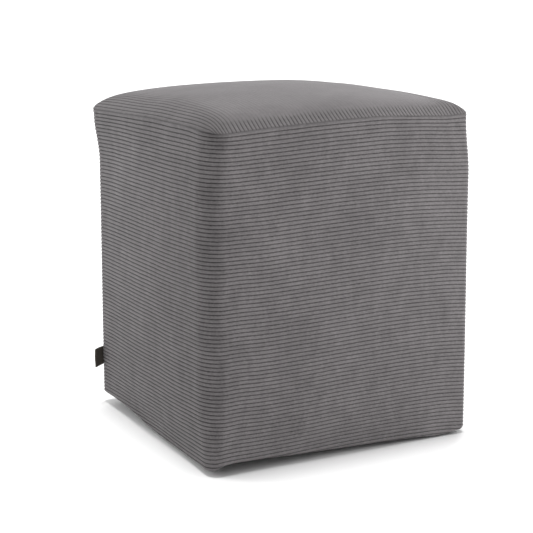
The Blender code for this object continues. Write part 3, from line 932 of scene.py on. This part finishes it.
def cord_pile_group():
    """Colour, roughness and fuzz of cut cord pile, with painted shade in its furrows and seams, from the
    cloth's own places along and across the wales.
    """
    inputs = (
        ("Place", "NodeSocketVector"),
        ("Wale Pitch", "NodeSocketFloat"),
        ("Crest Colour", "NodeSocketColor"),
        ("Furrow Shade Colour", "NodeSocketColor"),
        ("Blotches", "NodeSocketFloat"),
        ("Flecks", "NodeSocketFloat"),
    )
    group, given, result = new_group("cut_cord_pile", inputs)
    place = given["Place"]
    split = node(group, "ShaderNodeSeparateXYZ")
    link(group, place, split.inputs[0])
    along, across, shade = split.outputs
    phase = maths(group, "DIVIDE", across, given["Wale Pitch"])
    # Tufts stand unevenly over the furrow's edges.
    tufts = stretched_noise(group, place, *TUFTS)
    ragged = maths(group, "MULTIPLY_ADD", tufts, TUFT_BLUR, -TUFT_BLUR / 2)
    to_furrow = maths(group, "ADD", maths(group, "PINGPONG", phase, 0.5), ragged)
    # crest is 1 on a wale and 0 in a furrow, where the furrows' painted shade colour shows.
    crest = ramp_between(group, to_furrow, *FURROW_EDGE)
    # Where the top is worn flat by use, the pile lies over the furrows, and their painted shade is lifted, as
    # light from above fills them.
    crest = maths(group, "MAXIMUM", crest, maths(group, "MULTIPLY", shade, FURROW_SHADE_LIFT))
    # Deep in a seam, painted shade darkens the face towards the furrows' shaded colour.
    crest = maths(group, "MINIMUM", crest, maths(group, "ADD", shade, 1.0))

    # Each wale leans a little differently along its length, and use brushes wide blotches.
    wale_place = node(group, "ShaderNodeCombineXYZ")
    link(group, along, wale_place.inputs["X"])
    wale = maths(group, "FLOOR", phase)
    link(group, maths(group, "MULTIPLY", wale, WALE_STEP), wale_place.inputs["Y"])
    wale_tone = stretched_noise(group, wale_place.outputs[0], *WALE_TONES)
    fleck = stretched_noise(group, place, *FLECKS)
    fibre = stretched_noise(group, place, *FIBRES)
    blotches = given["Blotches"]
    flecks = given["Flecks"]
    tone = 1.0
    for noise, strength in (
        (stretched_noise(group, place, *SMUDGES), blotches),
        (stretched_noise(group, place, *CLOUDS), blotches),
        (wale_tone, maths(group, "MULTIPLY", blotches, WALE_TONE_SHARE)),
        (fleck, flecks),
        (fibre, maths(group, "MULTIPLY", flecks, FIBRE_SHARE)),
    ):
        about_middle = maths(group, "SUBTRACT", noise, 0.5)
        tone = maths(group, "MULTIPLY", tone, maths(group, "MULTIPLY_ADD", about_middle, strength, 1.0))

    shaded = node(group, "ShaderNodeVectorMath", operation="SCALE")
    link(group, mixed_colour(group, crest, given["Furrow Shade Colour"], given["Crest Colour"]), shaded.inputs[0])
    link(group, tone, shaded.inputs["Scale"])
    link(group, shaded.outputs[0], result.inputs["Colour"])
    roughness = maths(group, "MULTIPLY_ADD", fleck, FLECK_ROUGHNESS, PILE_ROUGHNESS)
    link(group, roughness, result.inputs["Roughness"])
    height = maths(group, "MULTIPLY_ADD", fibre, FIBRE_HEIGHT, maths(group, "MULTIPLY", fleck, FLECK_HEIGHT))
    link(group, height, result.inputs["Height"])
    return group


def plain_weave_group():
    """A fine woven or felted face: a mask of crossing threads over a soft noise."""
    inputs = (
        ("Place", "NodeSocketVector"),
        ("Thread", "NodeSocketFloat"),
        ("Light Colour", "NodeSocketColor"),
        ("Dark Colour", "NodeSocketColor"),
        ("Ribs", "NodeSocketFloat"),
    )
    group, given, result = new_group("fine_cloth_face", inputs)
    split = node(group, "ShaderNodeSeparateXYZ")
    link(group, given["Place"], split.inputs[0])
    across, along = (
        maths(group, "PINGPONG", maths(group, "DIVIDE", split.outputs[axis], given["Thread"]), 0.5)
        for axis in ("X", "Y")
    )
    weft = maths(group, "MULTIPLY", across, maths(group, "SUBTRACT", 1.0, given["Ribs"]))
    warp = maths(group, "MULTIPLY", along, given["Ribs"])
    woven = maths(group, "MULTIPLY", maths(group, "ADD", weft, warp), 2.0)
    felting = ramp_between(group, stretched_noise(group, given["Place"], *FELTING), *FELTING_RANGE)
    mask = maths(group, "MULTIPLY", woven, felting, clamp=True)
    link(group, mixed_colour(group, mask, given["Dark Colour"], given["Light Colour"]), result.inputs["Colour"])
    roughness = maths(group, "MULTIPLY_ADD", mask, -THREAD_GLOSS, WOVEN_ROUGHNESS)
    link(group, roughness, result.inputs["Roughness"])
    link(group, mask, result.inputs["Height"])
    return group


def cloth_material(name, group, look, sheen, grain):
    """A cloth material around one of the node groups: the group's inputs, sheen, and depth of the grain."""
    material = bpy.data.materials.new(name)
    material.use_nodes = True
    tree = material.node_tree
    shader = tree.nodes["Principled BSDF"]
    set_inputs(shader, {"Specular IOR Level": 0.25, "Sheen Weight": sheen, "Sheen Roughness": 0.36})
    set_inputs(shader, {"Sheen Tint": SHEEN_TINT})
    face = node(tree, "ShaderNodeGroup", node_tree=group)
    set_inputs(face, look)
    place = node(tree, "ShaderNodeAttribute", attribute_name="cloth_place")
    link(tree, place.outputs["Vector"], face.inputs["Place"])
    link(tree, face.outputs["Colour"], shader.inputs["Base Color"])
    link(tree, face.outputs["Roughness"], shader.inputs["Roughness"])
    raised = node(tree, "ShaderNodeBump")
    set_inputs(raised, {"Strength": 0.6, "Distance": grain})
    link(tree, face.outputs["Height"], raised.inputs["Height"])
    link(tree, raised.outputs["Normal"], shader.inputs["Normal"])
    return material


# ---------------------------------------------------------------- studio

WORLD_STRENGTH = 0.62
FLOOR_REACH = 60.0
# Lamps for the stool alone: (name, place, aim, width, power in watts)
STOOL_LAMPS = (
    ("overhead", (-0.5, 0.15, 2.2), (0.0, 0.0, 0.4), 1.4, 30.0),
    ("front_right", (0.75, -0.75, 0.45), (0.05, -0.1, 0.22), 0.8, 10.0),
)
# Distant lamps for the floor alone, whose shadows are the stool's: (name, direction, spread in degrees,
# strength)
FLOOR_LAMPS = (
    ("ground", (0.0, -0.035, -1.0), 14.0, 2.4),
    ("back_left", (0.66, -0.66, -0.34), 20.0, 1.1),
    ("back_right", (-0.66, -0.66, -0.34), 20.0, 1.3),
)


def floor():
    """A plain pale floor, wide enough to fill the view."""
    mesh = bpy.data.meshes.new("pale_floor")
    corners = [(x * FLOOR_REACH, y * FLOOR_REACH, 0.0) for x, y in ((-1, -1), (1, -1), (1, 1), (-1, 1))]
    mesh.from_pydata(corners, [], [(0, 1, 2, 3)])
    obj = placed("pale_floor", mesh)
    material = bpy.data.materials.new("pale_floor")
    material.use_nodes = True
    look = {"Base Color": (0.90, 0.90, 0.90, 1.0), "Roughness": 0.9, "Specular IOR Level": 0.1}
    set_inputs(material.node_tree.nodes["Principled BSDF"], look)
    mesh.materials.append(material)
    return obj


def add_lamp(name, kind, direction, pieces, place=(0.0, 0.0, 0.0), **settings):
    """A lamp that lights some pieces and nothing else."""
    lamp = bpy.data.lights.new(name, kind)
    for key, value in settings.items():
        setattr(lamp, key, value)
    obj = placed(name, lamp)
    obj.location = place
    obj.rotation_euler = Vector(direction).to_track_quat("-Z", "Y").to_euler()
    lit = bpy.data.collections.new("lit_by_" + name)
    for piece in pieces:
        lit.objects.link(piece)
    obj.light_linking.receiver_collection = lit


def studio(stool):
    """White surroundings, soft lamps for the stool, and lamps for the floor and the shadow on it."""
    world = bpy.data.worlds.new("white_studio")
    world.use_nodes = True
    background = world.node_tree.nodes["Background"]
    set_inputs(background, {"Color": (1.0, 1.0, 1.0, 1.0), "Strength": WORLD_STRENGTH})
    bpy.context.scene.world = world
    ground = floor()
    for name, place, aim, width, power in STOOL_LAMPS:
        direction = Vector(aim) - Vector(place)
        add_lamp(name, "AREA", direction, stool, place, shape="SQUARE", size=width, energy=power)
    for name, direction, spread, strength in FLOOR_LAMPS:
        add_lamp(name, "SUN", direction, [ground], angle=math.radians(spread), energy=strength)
    bpy.context.scene.view_settings.view_transform = "Standard"


def camera():
    """The photograph's view: a camera low and to the left of the front, 2 m away."""
    turn = math.radians(-29.0)
    lift = math.radians(12.4)
    distance = 2.045
    target = Vector((-0.0123, 0.0, 0.2221))
    focal_pixels = 1450.0
    picture_pixels = 533.0
    back = Vector((math.sin(turn) * math.cos(lift), -math.cos(turn) * math.cos(lift), math.sin(lift)))
    lens = bpy.data.cameras.new("photo_view")
    lens.sensor_width = 36.0
    lens.lens = lens.sensor_width * focal_pixels / picture_pixels
    lens.clip_end = 200.0
    obj = placed("photo_view", lens)
    obj.location = target + back * distance
    obj.rotation_euler = back.to_track_quat("Z", "Y").to_euler()
    bpy.context.scene.camera = obj


# ---------------------------------------------------------------- the stool


def dress():
    """Makes every piece with its material, and puts it in place of its solid."""
    pile = cord_pile_group()
    weave = plain_weave_group()
    cord = {"Crest Colour": CREST_COLOUR, "Furrow Shade Colour": FURROW_SHADE_COLOUR}
    side_look = {**cord, "Wale Pitch": SIDE_PITCH, "Blotches": 0.45, "Flecks": 0.75}
    top_pitch = cloth_places(across_x=True)[1][-1] / TOP_WALES
    top_look = {**cord, "Wale Pitch": top_pitch, "Blotches": 0.30, "Flecks": 0.45}
    felt_look = {
        "Thread": 1.2 * MM,
        "Light Colour": (0.030, 0.029, 0.029, 1.0),
        "Dark Colour": (0.012, 0.012, 0.012, 1.0),
        "Ribs": 0.5,
    }
    ribbon_look = {
        "Thread": 1.7 * MM,
        "Light Colour": (0.160, 0.142, 0.118, 1.0),
        "Dark Colour": (0.030, 0.026, 0.021, 1.0),
        "Ribs": 0.9,
    }
    sides = cloth_material("side_cord", pile, side_look, sheen=0.40, grain=CORD_GRAIN)
    top = cloth_material("top_cord", pile, top_look, sheen=0.34, grain=CORD_GRAIN)
    felt = cloth_material("black_underside", weave, felt_look, sheen=PLAIN_SHEEN, grain=PLAIN_GRAIN)
    ribbon = cloth_material("dark_ribbon", weave, ribbon_look, sheen=PLAIN_SHEEN, grain=PLAIN_GRAIN)

    left_front = side_cloth(
        "left_front_cloth", LEFT_FRONT_CORNERS, LEFT_FRONT_LEVELS, LEFT_FRONT_CREASES, seed=11, place_start=0.0
    )
    right_back = side_cloth(
        "right_back_cloth", RIGHT_BACK_CORNERS, RIGHT_BACK_LEVELS, RIGHT_BACK_CREASES, seed=31, place_start=1.3
    )
    crowned = top_cloth("top_cloth", seed=51)
    under = underside_pad("underside_cloth", seed=71)
    tab, tab_length = tag_ribbon("seam_tab")

    for piece, replaced, slot, material in (
        (left_front, "front_left_side", "cord", sides),
        (right_back, "back_right_side", "cord", sides),
        (crowned, "top_panel", "cord", top),
        (under, "base_panel", "underside", felt),
        (tab, "side_tag", "tag_ribbon", ribbon),
    ):
        piece.data.materials.append(material)
        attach(piece, "root")
        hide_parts(replaced)
    return left_front, right_back, crowned, under, tab


camera()
studio(dress())
